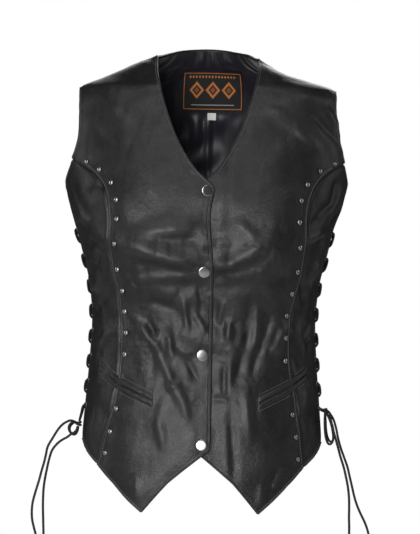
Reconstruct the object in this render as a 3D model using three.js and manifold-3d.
// Studded leather vest, women's cut, in its worn and hollow form.
// Millimetres, +Z up. The front faces -Y and the wearer's left is +X.
// The origin lies between the shoulders, level with the neck ends of the shoulder seams.
import * as THREE from "three";
import { mergeVertices } from "three/addons/utils/BufferGeometryUtils.js";
import Module from "manifold-3d";

const wasm = await Module();
wasm.setup();

// Thicknesses and clearances
const LEATHER = 2.0;
const SATIN = 1.0;
const SEAM = 0.36; // the two edges of a seam lie this far apart
const CLEAR = 0.3; // what lies on a panel starts this far above it
const LAP_DEPTH = 3.4; // the under front sinks by this where the fronts overlap
const LAP_START = 34;
const LAP_END = 14;

// Levels of the cut, from the neck ends of the shoulder seams down
const NECK_START = -1;
const SHOULDER_TIP = -43;
const SEAM_TOP = -132;
const UNDERARM = -166;
const SIDE_HEM = -479;
const SEAM_HEM = -505;
const BACK_NECK_RISE = 16;
const BACK_HEM_DROP = 9;

// How many rows and columns each stretch of a panel has
const SHOULDER_ROWS = 4;
const ARM_ROWS = 6;
const BACK_ARM_ROWS = 7;
const BODY_ROWS = 16;
const FRONT_COLUMNS = 10;
const SIDE_COLUMNS = 5;
const BACK_COLUMNS = 20;
const LINING_ROWS = 19; // the lining follows this many rows of the back

// Side lacing
const LACE_DIAMETER = 3;
const LACE_SIDES = 8;
const LACE_ROWS = 8;
const LACE_TOP = -218;
const LACE_PITCH = 31;
const EYELET_INSET = 11; // from the lacing edge to the middle of an eyelet
const EYELET_HOLE = 5.2;

// Hardware
const STUD_DIAMETER = 7.2;
const STUD_HEIGHT = 2.5;
const SNAP_DIAMETER = 15;
const SNAP_HEIGHT = 3.2;

const SQUARENESS = 0.03;
const BESIDE = 0.05; // the angle at which lengths beside the side line are measured
const TAU = 2 * Math.PI;
const RIGHT = -1; // the wearer's right side
const LEFT = 1;

// The form: level, half width, depth in front of the shoulder seam, depth behind it
const SECTIONS = [
  [30, 40, 4, 70],
  [16, 49, 7, 74],
  [0, 63, 12, 80],
  [-14, 94.5, 33, 87],
  [-29, 128.5, 50, 92],
  [-43, 160, 63, 96],
  [-76, 173, 80, 105],
  [-110, 178, 92, 112],
  [-150, 177, 104, 116],
  [-190, 168, 113, 114],
  [-240, 153.5, 118, 106],
  [-290, 142, 108, 95],
  [-330, 139, 100, 89],
  [-380, 141.5, 99, 95],
  [-430, 145.5, 104, 107],
  [-480, 149, 108, 116],
  [-565, 152, 112, 122],
];
const HALF_WIDTH = 1;
const FRONT_DEPTH = 2;
const BACK_DEPTH = 3;

// Armholes: level, distance from the middle of the right front's edge, of the left front's, of the back's
const ARMHOLE = [
  [-43, 160, 160, 160],
  [-60, 159, 159.5, 157],
  [-85, 158, 162, 156],
  [-105, 158.7, 165.5, 158],
  [-120, 161.6, 169, 162],
  [-132, 165.4, 171, 166],
  [-150, 173, 173, 172],
  [-166, 175, 175, 175],
];
const BACK_ARMHOLE = 3;

// Neckline and front edge: level, distance from the middle on the front's own side
const FRONT_EDGE = [
  [-1, 62.8],
  [-20, 61.5],
  [-50, 55],
  [-81, 45.5],
  [-107, 35],
  [-133, 20.5],
  [-148, 8.5],
  [-158, -2.5],
  [-168, -11],
  [-180, -9],
  [-200, -6],
  [-247, -9.3],
  [-271, -10.7],
  [-470, -11],
  [-480, -10.5],
  [-492, -7],
];

// Princess seams: level, distance from the middle on the wearer's right and left
const PRINCESS_SEAM = [
  [-132, 165.4, 171],
  [-144, 145, 150],
  [-157, 130, 137],
  [-172, 120, 128],
  [-190, 115, 122],
  [-212, 113, 119.5],
  [-236, 112.5, 118.5],
  [-266, 108.5, 116],
  [-296, 102.5, 110],
  [-325, 100, 106],
  [-352, 99.3, 104.5],
  [-386, 101, 107],
  [-418, 105.5, 113],
  [-448, 113, 117],
  [-475, 120, 121],
  [-505, 126.5, 124.5],
];

// Hem of the fronts: degrees round from the side, level
const HEM = [
  [0, -476],
  [8, -480],
  [20, -490],
  [33, -505],
  [46, -526.5],
  [56, -546],
  [63.4, -560],
  [76, -523.5],
  [83, -508],
  [90, -493],
  [94.5, -484],
];
const HEM_SIDE = 6;
const HEM_SEAM = 33;
const HEM_TIP = 63.4;
const HEM_EDGE = 94.5;

// Half the opening between the lacing edges: level, distance round from the side line
const SIDE_OPENING = [
  [-166, 0.2],
  [-196, 0.2],
  [-212, 5],
  [-235, 11],
  [-300, 14],
  [-400, 14],
  [-479, 12],
];

// Largest folds and fullness, as ridges and troughs on the form:
// degrees round, level, turn from level in degrees, half length, half width, rise
const FOLDS = [
  [58, -232, 90, 70, 46, 8], // fullness of the left front
  [122, -232, 90, 70, 46, 8], // fullness of the right front
  [90, -245, 90, 60, 22, -3], // hollow between them
  [118, -246, -24, 52, 11, 2.6],
  [66, -250, 20, 48, 11, 2.4],
  [112, -276, -12, 46, 9, -1.8],
  [68, -280, 14, 44, 9, -1.8],
  [128, -312, 62, 40, 9, 2],
  [54, -318, 112, 44, 9, 2],
  [110, -352, 8, 60, 16, 2.4],
  [72, -356, -10, 55, 15, 2],
  [0, -15, 0, 90, 12, -7], // sag of the left shoulder
  [2, -214, 0, 46, 18, -2], // pinch above the left lacing
  [28, -192, 52, 34, 7, 3.2],
  [22, -212, 40, 34, 7, -2.6],
  [154, -196, 128, 32, 8, 2.4],
  [27, -262, 66, 34, 9, 2.4],
  [152, -300, 108, 40, 9, 2.2],
  [-90, -300, 90, 110, 30, -6], // hollow of the back waist
  [-68, -292, 16, 46, 10, 2.4],
  [-112, -300, -14, 48, 10, 2.4],
  [-60, -330, 8, 44, 10, 2.2],
  [-122, -336, -8, 44, 9, 2],
  [-48, -150, 58, 46, 15, 2],
  [-134, -156, 122, 46, 15, 1.8],
];
const ROUND_ARC = 130; // millimetres of cloth for one radian round the form

// Studs: level, distance from the seam towards the middle; then the levels of each row
const STUD_INSET = [
  [-132, 10],
  [-144, 11.5],
  [-163, 11.5],
  [-184, 10.8],
  [-207, 9.6],
  [-236, 7.5],
  [-266, 6],
  [-500, 6],
];
const STUD_LEVELS = {
  right: [-137, -147, -163, -184, -207, -236, -266, -293, -318, -344, -370, -436, -464, -490],
  left: [-134, -144, -161, -181, -207, -237, -266, -293, -320, -347, -375, -440, -467, -494],
};

// Snaps: level, distance from the middle
const SNAPS = [
  [-171, 1.5],
  [-269, -0.3],
  [-369, -1],
  [-477, 0],
];

// Pocket slit: distance from the middle, level. Each welt reaches away from it by its height.
const POCKET_SLIT = {
  right: [
    [127, -382],
    [107, -402],
    [84, -414],
    [59, -425],
  ],
  left: [
    [127, -391],
    [104, -408],
    [86, -417],
    [68, -426],
  ],
};
const WELT_HEIGHT = 8;
const WELT_THICKNESS = 1.4;
const WELT_GAP = 0.4; // from the slit to each welt
const WELT_LIFT = 0.6; // clears the facets of the panels below
const WELT_STEPS = 9;

// Maker's patch and size tag inside the back neck
const LABEL = { width: 80, height: 50, top: -10.5, middle: 6.5, thickness: 0.8 };
const SIZE_TAG = { width: 11, height: 9, top: -63.5, middle: 5.5, thickness: 0.8 };
const PATCH_LIFT = 1.1; // how far inside the lining they lie
const PATCH_PITCH = { across: 13, down: 17 }; // longest step of their grids

// Bows: the place of the knot and the route of each loop, whose ends lie in the knot
const BOWS = {
  right: {
    knot: [-153, -7, -459.5],
    loops: [
      [
        [-154.5, -7, -460],
        [-159, -8.5, -457.5],
        [-164, -9, -461],
        [-165, -9, -466.5],
        [-161.5, -8.5, -471.5],
        [-156.5, -8, -469],
        [-154, -7, -463],
      ],
      [
        [-154, -6, -458.5],
        [-159.5, -3.5, -459],
        [-164, -3, -464.5],
        [-163, -3, -471],
        [-158, -3, -473.5],
        [-154.5, -4.5, -469],
        [-153.5, -6, -463],
      ],
    ],
  },
  left: {
    knot: [151.5, -8, -438],
    loops: [
      [
        [152.5, -9.5, -441],
        [152, -12, -449],
        [152.5, -13, -462],
        [154.5, -13, -474],
        [158.5, -13, -479.5],
        [162.5, -13, -475],
        [162, -13, -463],
        [158.5, -12, -450],
        [154.5, -10, -441.5],
      ],
      [
        [152.5, -7, -441],
        [153.5, -3, -450],
        [154.5, -2, -463],
        [157, -2, -473],
        [161, -2, -477],
        [164, -2, -471],
        [163, -2.5, -460],
        [159, -4, -449],
        [154.5, -6.5, -441],
      ],
    ],
  },
};
const KNOT_RADIUS = 4.6;

// Free lace ends, from the knot down
const LACE_ENDS = {
  lace_end_right_outer: [
    [-156.6, -10.8, -457.5],
    [-162.5, -14, -455.5],
    [-168, -15, -457.5],
    [-173, -16, -461],
    [-178, -18, -467],
    [-184, -20, -477],
    [-190, -22, -488],
    [-192, -23, -498],
    [-194, -23, -507],
    [-197, -24, -518],
    [-200, -24, -530],
    [-204, -25, -544],
    [-207, -25, -556],
    [-208, -25, -566],
    [-207.5, -25, -577],
    [-205, -25, -588],
    [-202, -25, -599],
    [-200.5, -25, -610],
    [-200, -25, -621],
    [-200, -25, -631],
  ],
  lace_end_right_inner: [
    [-162.4, -8.6, -473],
    [-167.5, -7, -477],
    [-173.5, -3, -480.5],
    [-180, 2, -486],
    [-186, 4, -494],
    [-189.5, 4, -505],
    [-192, 3, -517],
    [-194, 2, -528],
    [-195.5, 1, -540],
    [-196, 0, -552],
    [-196, 0, -565],
    [-195.5, 0, -578],
    [-195, 0, -591],
    [-194.5, 0, -604],
    [-194, 0, -617],
    [-194, 0, -629],
  ],
  lace_end_left_inner: [
    [153.5, -13.2, -436.8],
    [158, -19, -441],
    [159, -24, -448],
    [161.5, -26, -459],
    [165, -26, -471],
    [168.5, -26, -483],
    [172, -25, -495],
    [176, -24, -507],
    [179, -24, -519],
    [181.5, -24, -531],
    [183, -24, -543],
    [183.5, -24, -555],
    [183.5, -24, -568],
    [184, -24, -581],
    [184, -24, -594],
    [184, -24, -607],
    [184, -24, -620],
    [184, -24, -631],
  ],
  lace_end_left_outer: [
    [157.9, -10, -440.9],
    [162.5, -14.5, -448],
    [166, -18, -459],
    [168.5, -20, -471],
    [172, -20, -483],
    [176.5, -18, -495],
    [181, -16, -507],
    [184, -16, -519],
    [187, -16, -531],
    [190, -15, -543],
    [194, -14, -555],
    [199, -13, -566],
    [204, -12, -576],
    [208, -11, -587],
    [210, -10, -598],
    [211, -10, -609],
    [211.5, -10, -621],
    [211.5, -10, -631],
  ],
};

// Colours, roughness and metalness
const leather = new THREE.MeshStandardMaterial({ color: 0x2c2c2e, roughness: 0.5, side: THREE.DoubleSide });
const satin = new THREE.MeshStandardMaterial({ color: 0x17151a, roughness: 0.4, metalness: 0 });
const patch = new THREE.MeshStandardMaterial({ color: 0x121212, roughness: 0.7, metalness: 0 });
const tape = new THREE.MeshStandardMaterial({ color: 0xe8e8e4, roughness: 0.8, metalness: 0 });
const thong = new THREE.MeshStandardMaterial({ color: 0x18181a, roughness: 0.55, metalness: 0 });
const nickel = new THREE.MeshStandardMaterial({ color: 0x8d8f92, roughness: 0.3, metalness: 1 });

const vest = new THREE.Group();

function addMesh(name, geometry, material) {
  const mesh = new THREE.Mesh(geometry, material);
  mesh.name = name;
  vest.add(mesh);
  return mesh;
}

const lerp = THREE.MathUtils.lerp;
const radians = THREE.MathUtils.degToRad;

// Evenly eased fractions from 0 to 1
function fractions(count, ease = 1) {
  return Array.from({ length: count + 1 }, (_, i) => (i / count) ** ease);
}

// A smooth curve through one column of a table whose first column falls from row to row
function smooth(rows, place, level) {
  const last = rows.length - 1;
  const at = THREE.MathUtils.clamp(level, rows[last][0], rows[0][0]);
  let i = 0;
  while (i < last - 1 && at < rows[i + 1][0]) i++;
  const slope = (k) => (rows[k + 1][place] - rows[k][place]) / (rows[k + 1][0] - rows[k][0]);
  const tangent = (k) => {
    if (k === 0) return slope(0);
    if (k === last) return slope(last - 1);
    const before = slope(k - 1);
    const after = slope(k);
    return before * after > 0 ? (2 * before * after) / (before + after) : 0;
  };
  const span = rows[i + 1][0] - rows[i][0];
  const t = (at - rows[i][0]) / span;
  const start = rows[i][place] * (1 + 2 * t) * (1 - t) ** 2 + tangent(i) * span * t * (1 - t) ** 2;
  const end = rows[i + 1][place] * t * t * (3 - 2 * t) + tangent(i + 1) * span * t * t * (t - 1);
  return start + end;
}

// A broken line through a table whose first column rises from row to row
function straight(rows, x) {
  let i = 0;
  while (i < rows.length - 2 && x > rows[i + 1][0]) i++;
  const t = (x - rows[i][0]) / (rows[i + 1][0] - rows[i][0]);
  return lerp(rows[i][1], rows[i + 1][1], t);
}

// The form: angle 0 is the wearer's left side, a quarter turn the front, and minus that the back
function form(angle, level) {
  const depth = smooth(SECTIONS, Math.sin(angle) > 0 ? FRONT_DEPTH : BACK_DEPTH, level);
  const across = (Math.cos(angle) - SQUARENESS * Math.cos(3 * angle)) / (1 - SQUARENESS);
  const away = (Math.sin(angle) + SQUARENESS * Math.sin(3 * angle)) / (1 - SQUARENESS);
  return new THREE.Vector3(smooth(SECTIONS, HALF_WIDTH, level) * across, -depth * away, level);
}

// The angle in front at which the form lies a distance x from the middle
function angleAt(x, level) {
  const share = THREE.MathUtils.clamp(x / smooth(SECTIONS, HALF_WIDTH, level), -1, 1);
  let low = 0;
  let high = Math.PI;
  for (let i = 0; i < 40; i++) {
    const middle = (low + high) / 2;
    const across = (Math.cos(middle) - SQUARENESS * Math.cos(3 * middle)) / (1 - SQUARENESS);
    if (across > share) low = middle;
    else high = middle;
  }
  return (low + high) / 2;
}

function aroundStep(angle, level) {
  const step = 1e-3;
  return form(angle + step, level).sub(form(angle - step, level)).divideScalar(2 * step);
}

// A length of cloth as an angle
function arc(length, angle, level) {
  return length / aroundStep(angle, level).length();
}

function outward(angle, level) {
  const rise = form(angle, level + 0.5).sub(form(angle, level - 0.5));
  return rise.cross(aroundStep(angle, level)).normalize();
}

function foldRise(angle, level) {
  let rise = 0;
  for (const [degrees, middle, turn, halfLength, halfWidth, height] of FOLDS) {
    const round = Math.atan2(Math.sin(angle - radians(degrees)), Math.cos(angle - radians(degrees)));
    const x = -round * ROUND_ARC;
    const z = level - middle;
    const along = x * Math.cos(radians(turn)) + z * Math.sin(radians(turn));
    const across = z * Math.cos(radians(turn)) - x * Math.sin(radians(turn));
    rise += height * Math.exp(-((across / halfWidth) ** 2) - (along / halfLength) ** 4);
  }
  return rise;
}

// A point of the cloth, moved out from it
function cloth(angle, level, out = 0) {
  return form(angle, level).addScaledVector(outward(angle, level), foldRise(angle, level) + out);
}

// On the wearer's right an angle counts from that side
function sided(side, angle) {
  return side === LEFT ? angle : Math.PI - angle;
}

// A closed mesh from points and faces, its faces turned out
function closedGeometry(points, faces) {
  let volume = 0;
  for (const [a, b, c] of faces) volume += points[a].dot(points[b].clone().cross(points[c]));
  const turned = volume < 0 ? faces.map(([a, b, c]) => [a, c, b]) : faces;
  const geometry = new THREE.BufferGeometry().setFromPoints(points);
  geometry.setIndex(turned.flat());
  return geometry;
}

// A wall of cloth: a grid of places, its outer face, the same grid moved in, and the rim
function wall(grid, thickness) {
  const rows = grid.length;
  const columns = grid[0].length;
  const outer = grid.flat().map((p) => cloth(p.angle, p.level, p.out));
  const inner = grid.flat().map((p) => cloth(p.angle, p.level, p.out - thickness));
  const inside = outer.length;
  const faces = [];
  const quad = (a, b, c, d) => faces.push([a, b, c], [a, c, d]);
  for (let i = 0; i < rows - 1; i++) {
    for (let j = 0; j < columns - 1; j++) {
      const a = i * columns + j;
      quad(a, a + 1, a + columns + 1, a + columns);
      quad(inside + a, inside + a + columns, inside + a + columns + 1, inside + a + 1);
    }
  }
  for (let j = 0; j < columns - 1; j++) {
    const low = (rows - 1) * columns + j;
    quad(j, inside + j, inside + j + 1, j + 1);
    quad(low, low + 1, inside + low + 1, inside + low);
  }
  for (let i = 0; i < rows - 1; i++) {
    const a = i * columns;
    const b = a + columns - 1;
    quad(a, a + columns, inside + a + columns, inside + a);
    quad(b, inside + b, inside + b + columns, b + columns);
  }
  return closedGeometry([...outer, ...inner], faces);
}

// The places of a panel: columns run from its first edge to its second, rows from top to bottom
function panel({ heights, columns, top, bottom, first, second, out = () => 0, side = LEFT }) {
  return heights.map((height) => {
    const start = first(lerp(top(0), bottom(0), height));
    const end = second(lerp(top(1), bottom(1), height));
    return columns.map((u) => {
      const level = lerp(top(u), bottom(u), height);
      const angle = lerp(start, end, u);
      return { angle: sided(side, angle), level, out: out(angle, level) };
    });
  });
}

// Boolean work on closed geometries
function toSolid(geometry) {
  const bare = geometry.clone();
  bare.deleteAttribute("normal");
  bare.deleteAttribute("uv");
  const merged = mergeVertices(bare, 1e-3);
  return new wasm.Manifold(
    new wasm.Mesh({
      numProp: 3,
      vertProperties: merged.getAttribute("position").array,
      triVerts: new Uint32Array(merged.index.array),
    }),
  );
}

function toGeometry(solid) {
  const mesh = solid.getMesh();
  const geometry = new THREE.BufferGeometry();
  geometry.setAttribute("position", new THREE.BufferAttribute(mesh.vertProperties, 3));
  geometry.setIndex(new THREE.BufferAttribute(mesh.triVerts, 1));
  return geometry;
}

// Lacing edges and eyelets
const laceLevels = Array.from({ length: LACE_ROWS }, (_, row) => LACE_TOP - LACE_PITCH * row);

function opening(level) {
  return smooth(SIDE_OPENING, 1, level);
}

function eyeletDistance(level) {
  return opening(level) + EYELET_INSET;
}

// A place by the side line: distance round to the front, or behind where it is negative
function bySide(side, distance, level, out) {
  const angle = Math.sign(distance) * arc(Math.abs(distance), Math.sign(distance) * BESIDE, level);
  return cloth(sided(side, angle), level, out);
}

function punchEyelets(geometry, side, facing) {
  let solid = toSolid(geometry);
  for (const level of laceLevels) {
    const distance = facing * eyeletDistance(level);
    const low = bySide(side, distance, level, -3 * LEATHER);
    const high = bySide(side, distance, level, 2 * LEATHER);
    const punch = new THREE.CylinderGeometry(EYELET_HOLE / 2, EYELET_HOLE / 2, low.distanceTo(high), 8);
    const axis = high.clone().sub(low).normalize();
    punch.applyQuaternion(new THREE.Quaternion().setFromUnitVectors(new THREE.Vector3(0, 1, 0), axis));
    punch.translate(...low.clone().lerp(high, 0.5).toArray());
    solid = solid.subtract(toSolid(punch));
  }
  return toGeometry(solid);
}

// Edges of the cut, as angles from the side
const seamFractions = fractions(BODY_ROWS, 1.3);

// The column of a table that holds one side's distances
function column(side) {
  return side === RIGHT ? 1 : 2;
}

function seamEdge(side, level, gap) {
  const angle = angleAt(smooth(PRINCESS_SEAM, column(side), level), level);
  return angle + arc(gap, angle, level);
}

function armholeEdge(edge, level) {
  return Math.max(angleAt(smooth(ARMHOLE, edge, level), level), arc(SEAM / 2, BESIDE, level));
}

function outerFrontEdge(side, level) {
  if (level >= SHOULDER_TIP) return arc(SEAM / 2, BESIDE, level);
  if (level > SEAM_TOP) return armholeEdge(column(side), level);
  return seamEdge(side, level, SEAM / 2);
}

function outerBackEdge(level) {
  if (level >= SHOULDER_TIP) return -arc(SEAM / 2, -BESIDE, level);
  if (level > UNDERARM) return -armholeEdge(BACK_ARMHOLE, level);
  return -arc(opening(level), -BESIDE, level);
}

function centreEdge(level) {
  return angleAt(smooth(FRONT_EDGE, 1, level), level);
}

const levelShare = (level, top, bottom) => (level - top) / (bottom - top);
const shoulderLevels = fractions(SHOULDER_ROWS).map((f) => lerp(NECK_START, SHOULDER_TIP, f));
const armLevels = fractions(ARM_ROWS, 1.6).map((f) => lerp(SHOULDER_TIP, SEAM_TOP, f));
const backArmLevels = fractions(BACK_ARM_ROWS, 1.4).map((f) => lerp(SHOULDER_TIP, UNDERARM, f));
const seamLevels = seamFractions.map((f) => lerp(SEAM_TOP, SEAM_HEM, f));
const sideLevels = seamFractions.map((f) => lerp(UNDERARM, SIDE_HEM, f));

// How far the under front sinks below the upper one
function lapOut(angle, level) {
  const x = form(angle, level).x;
  return -LAP_DEPTH * (1 - THREE.MathUtils.smoothstep(x, LAP_END, LAP_START));
}

function buildFront(side) {
  const outerLevels = [...shoulderLevels, ...armLevels.slice(1), ...seamLevels.slice(1)];
  const hemLevel = (u) => {
    const degrees = u < 0.5 ? lerp(HEM_SEAM, HEM_TIP, 2 * u) : lerp(HEM_TIP, HEM_EDGE, 2 * u - 1);
    return straight(HEM, degrees);
  };
  const grid = panel({
    heights: outerLevels.map((level) => levelShare(level, NECK_START, SEAM_HEM)),
    columns: fractions(FRONT_COLUMNS),
    top: () => NECK_START,
    bottom: hemLevel,
    first: (level) => outerFrontEdge(side, level),
    second: centreEdge,
    out: side === LEFT ? lapOut : () => 0,
    side,
  });
  return wall(grid, LEATHER);
}

function buildSideFront(side) {
  const grid = panel({
    heights: seamFractions,
    columns: fractions(SIDE_COLUMNS),
    top: (u) => UNDERARM + (SEAM_TOP - UNDERARM) * (1 - u) ** 2,
    bottom: (u) => straight(HEM, lerp(HEM_SEAM, HEM_SIDE, u)),
    first: (level) => seamEdge(side, level, -SEAM / 2),
    second: (level) => arc(opening(level), BESIDE, level),
    side,
  });
  return punchEyelets(wall(grid, LEATHER), side, 1);
}

const backLevels = [...shoulderLevels, ...backArmLevels.slice(1), ...sideLevels.slice(1)];
const backHeights = backLevels.map((level) => levelShare(level, NECK_START, SIDE_HEM));
const backNeck = (u) => NECK_START + BACK_NECK_RISE * Math.sin(Math.PI * u);
const backHem = (u) => SIDE_HEM - BACK_HEM_DROP * Math.sin(Math.PI * u);

function buildBack() {
  const grid = panel({
    heights: backHeights,
    columns: fractions(BACK_COLUMNS),
    top: backNeck,
    bottom: backHem,
    first: outerBackEdge,
    second: (level) => -Math.PI - outerBackEdge(level),
  });
  const rightPunched = punchEyelets(wall(grid, LEATHER), RIGHT, -1);
  return punchEyelets(rightPunched, LEFT, -1);
}

// The lining lies inside the back, clear of its edges and of the lacing
const LINING_DEPTH = LEATHER + 2.0;
const LINING_NECK = 0.011; // its top edge, as a share of the height of the back
const LINING_INSET = [
  [30, 4],
  [-43, 7],
  [-166, 10],
  [-200, 26],
  [-480, 28],
];

function buildLining() {
  const edge = (level) => outerBackEdge(level) - arc(smooth(LINING_INSET, 1, level), -0.3, level);
  const grid = panel({
    heights: [LINING_NECK, ...backHeights.slice(1, LINING_ROWS + 1)],
    columns: fractions(BACK_COLUMNS),
    top: backNeck,
    bottom: backHem,
    first: edge,
    second: (level) => -Math.PI - edge(level),
    out: () => -LINING_DEPTH,
  });
  return wall(grid, SATIN);
}

// A small flat piece sewn on the inside of the back
function buildInsidePatch({ width, height, top, middle, thickness }) {
  const steps = Math.max(2, Math.round(width / PATCH_PITCH.across));
  const centre = (level) => -angleAt(middle, level);
  const grid = panel({
    heights: fractions(Math.max(1, Math.round(height / PATCH_PITCH.down))),
    columns: fractions(steps),
    top: () => top,
    bottom: () => top - height,
    first: (level) => centre(level) + arc(width / 2, -Math.PI / 2, level),
    second: (level) => centre(level) - arc(width / 2, -Math.PI / 2, level),
    out: () => -LINING_DEPTH - SATIN - PATCH_LIFT,
  });
  return wall(grid, thickness);
}

// A pocket welt: a strip along the slit that reaches up or down from it
function buildWelt(side, slit, direction) {
  const outer = slit[0][0];
  const inner = slit[slit.length - 1][0];
  const edges = [direction * WELT_GAP, direction * (WELT_GAP + WELT_HEIGHT)];
  const grid = edges.map((offset) =>
    fractions(WELT_STEPS).map((u) => {
      const x = lerp(outer, inner, u);
      const level = smooth(slit, 1, x) + offset;
      const angle = angleAt(x, level);
      return { angle: sided(side, angle), level, out: WELT_LIFT + WELT_THICKNESS };
    }),
  );
  return wall(grid, WELT_THICKNESS);
}

// A route whose steps lie at its own points, so that its tight turns get more of them
class Route extends THREE.CatmullRomCurve3 {
  getPointAt(u, target) {
    return this.getPoint(u, target);
  }
  getTangentAt(u, target) {
    return this.getTangent(u, target);
  }
}

function tube(points, diameter) {
  const section = new THREE.Shape();
  for (let i = 0; i < LACE_SIDES; i++) {
    const turn = (TAU * i) / LACE_SIDES;
    const corner = [(Math.cos(turn) * diameter) / 2, (Math.sin(turn) * diameter) / 2];
    if (i === 0) section.moveTo(...corner);
    else section.lineTo(...corner);
  }
  section.closePath();
  const path = new Route(points, false, "centripetal");
  return new THREE.ExtrudeGeometry(section, { extrudePath: path, steps: points.length - 1, bevelEnabled: false });
}

// One hop of the lace: out of an eyelet, over its edge, under the other edge, up to the next eyelet
// Columns: share of the way across, fall, height over the cloth
const OVER = 2.4;
const UNDER = -LEATHER - 2.4;
const MIDDLE = -LEATHER / 2;

function laceHop(side, facing, row, lift) {
  const start = laceLevels[row];
  const end = laceLevels[row + 1];
  const from = eyeletDistance(start);
  const to = eyeletDistance(end);
  const half = lerp(start, end, 0.5);
  const rows = [
    [facing * (from + 0.3), start, MIDDLE],
    [facing * (from - 0.2), start - 0.4, 1.0],
    [facing * (from - 3.2), start - 1.8, OVER],
    [facing * opening(start), lerp(start, end, 0.3), OVER],
    [0.001 * facing, half, MIDDLE + lift],
    [-facing * opening(end), lerp(start, end, 0.7), UNDER],
    [-facing * (to - 3.2), end + 1.8, UNDER],
    [-facing * (to - 0.2), end + 0.4, -LEATHER - 1.0],
  ];
  return rows.map(([distance, level, out]) => bySide(side, distance, level, out));
}

function strand(side, facing) {
  const points = [];
  let from = facing;
  for (let row = 0; row < LACE_ROWS - 1; row++) {
    const lift = (row % 2 === 0 ? 1 : -1) * facing * 2;
    points.push(...laceHop(side, from, row, lift));
    from = -from;
  }
  return { points, facing: from };
}

// The last stretch of a strand, from the bottom eyelet to the knot
function strandEnd(side, facing, knot) {
  const level = laceLevels[LACE_ROWS - 1];
  const distance = eyeletDistance(level);
  const out = bySide(side, facing * (distance - 0.2), level - 0.4, 1.0);
  const lifted = bySide(side, facing * (distance - 3.4), level - 2.4, OVER + 0.6);
  const last = knot.clone().sub(lifted);
  const stop = lifted.clone().addScaledVector(last, 1 - (KNOT_RADIUS + 0.9) / last.length());
  return [bySide(side, facing * (distance + 0.3), level, MIDDLE), out, lifted, lifted.clone().lerp(stop, 0.5), stop];
}

function buildSideLace(side, knot) {
  const first = strand(side, 1);
  const second = strand(side, -1);
  const level = laceLevels[0];
  const distance = eyeletDistance(level);
  const bar = [
    bySide(side, -(distance - 0.2), level + 0.4, -LEATHER - 1.0),
    bySide(side, -(distance - 3.2), level + 0.6, UNDER),
    bySide(side, distance - 3.2, level + 0.6, UNDER),
    bySide(side, distance - 0.2, level + 0.4, -LEATHER - 1.0),
  ];
  const firstRun = [...first.points, ...strandEnd(side, first.facing, knot)];
  const secondRun = [...second.points, ...strandEnd(side, second.facing, knot)];
  return tube([...secondRun.reverse(), ...bar, ...firstRun], LACE_DIAMETER);
}

// A tied bow: a knot and its loops
function buildBow({ knot, loops }) {
  const ball = new THREE.SphereGeometry(KNOT_RADIUS, 10, 8);
  ball.scale(0.85, 1, 1.1);
  ball.translate(...knot);
  let solid = toSolid(ball);
  for (const loop of loops) {
    solid = solid.add(toSolid(tube(loop.map((p) => new THREE.Vector3(...p)), LACE_DIAMETER)));
  }
  return toGeometry(solid);
}

// Seats a round piece on a panel, so that its whole rim is clear of it
const RIM_POINTS = 8;

function seat(mesh, panelMesh, radius, side, x, level) {
  const angle = sided(side, angleAt(x, level));
  const base = cloth(angle, level);
  const up = cloth(angle, level + radius).sub(cloth(angle, level - radius)).normalize();
  const normal = up.clone().cross(aroundStep(angle, level)).normalize();
  const across = up.clone().cross(normal);
  const ray = new THREE.Raycaster();
  let height = -Infinity;
  for (let i = 0; i <= RIM_POINTS; i++) {
    const turn = (TAU * i) / RIM_POINTS;
    const reach = i === RIM_POINTS ? 0 : radius;
    const foot = base.clone().addScaledVector(up, reach * Math.sin(turn));
    foot.addScaledVector(across, reach * Math.cos(turn));
    ray.set(foot.clone().addScaledVector(normal, 4 * radius), normal.clone().negate());
    for (const hit of ray.intersectObject(panelMesh)) {
      height = Math.max(height, hit.point.sub(foot).dot(normal));
    }
  }
  mesh.position.copy(base).addScaledVector(normal, height + CLEAR);
  mesh.quaternion.setFromUnitVectors(new THREE.Vector3(0, 1, 0), normal);
}

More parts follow.
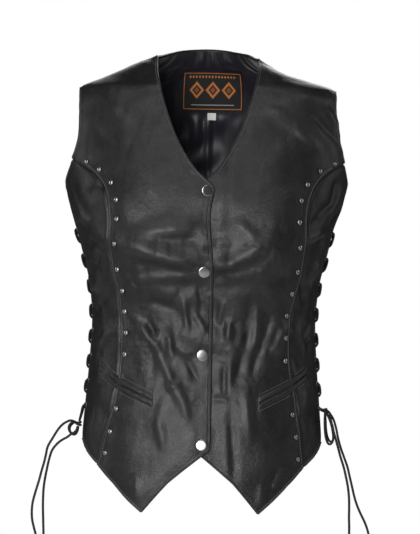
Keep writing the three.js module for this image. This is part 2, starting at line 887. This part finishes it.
function turned(profile, segments) {
  return new THREE.LatheGeometry(profile.map(([r, h]) => new THREE.Vector2(r, h)), segments);
}

function buildStuds(side, levels, label, panelMesh) {
  const r = STUD_DIAMETER / 2;
  const h = STUD_HEIGHT;
  const dome = turned([[0, 0], [r, 0], [0.93 * r, 0.35 * h], [0.62 * r, 0.82 * h], [0, h]], 8);
  levels.forEach((level, i) => {
    const x = smooth(PRINCESS_SEAM, column(side), level) - smooth(STUD_INSET, 1, level);
    const studName = "stud_" + label + "_" + String(i + 1).padStart(2, "0");
    seat(addMesh(studName, dome, nickel), panelMesh, r, side, x, level);
  });
}

function buildSnaps(panelMesh) {
  const r = SNAP_DIAMETER / 2;
  const h = SNAP_HEIGHT;
  const cap = turned([[0, 0], [r, 0], [r, 0.4 * h], [0.86 * r, 0.72 * h], [0.5 * r, 0.94 * h], [0, h]], 16);
  SNAPS.forEach(([level, x], i) => {
    seat(addMesh("snap_" + (i + 1), cap, nickel), panelMesh, r, LEFT, x, level);
  });
}

const fronts = {
  right: addMesh("front_right", buildFront(RIGHT), leather),
  left: addMesh("front_left", buildFront(LEFT), leather),
};
addMesh("side_front_right", buildSideFront(RIGHT), leather);
addMesh("side_front_left", buildSideFront(LEFT), leather);
addMesh("back", buildBack(), leather);
addMesh("back_lining", buildLining(), satin);
addMesh("label", buildInsidePatch(LABEL), patch);
addMesh("size_tag", buildInsidePatch(SIZE_TAG), tape);
for (const [label, side] of [["right", RIGHT], ["left", LEFT]]) {
  addMesh("welt_upper_" + label, buildWelt(side, POCKET_SLIT[label], 1), leather);
  addMesh("welt_lower_" + label, buildWelt(side, POCKET_SLIT[label], -1), leather);
  buildStuds(side, STUD_LEVELS[label], label, fronts[label]);
  const knot = new THREE.Vector3(...BOWS[label].knot);
  addMesh("side_lace_" + label, buildSideLace(side, knot), thong);
  addMesh("bow_" + label, buildBow(BOWS[label]), thong);
}
buildSnaps(fronts.right);
for (const [name, route] of Object.entries(LACE_ENDS)) {
  addMesh(name, tube(route.map((p) => new THREE.Vector3(...p)), LACE_DIAMETER), thong);
}

export default vest;
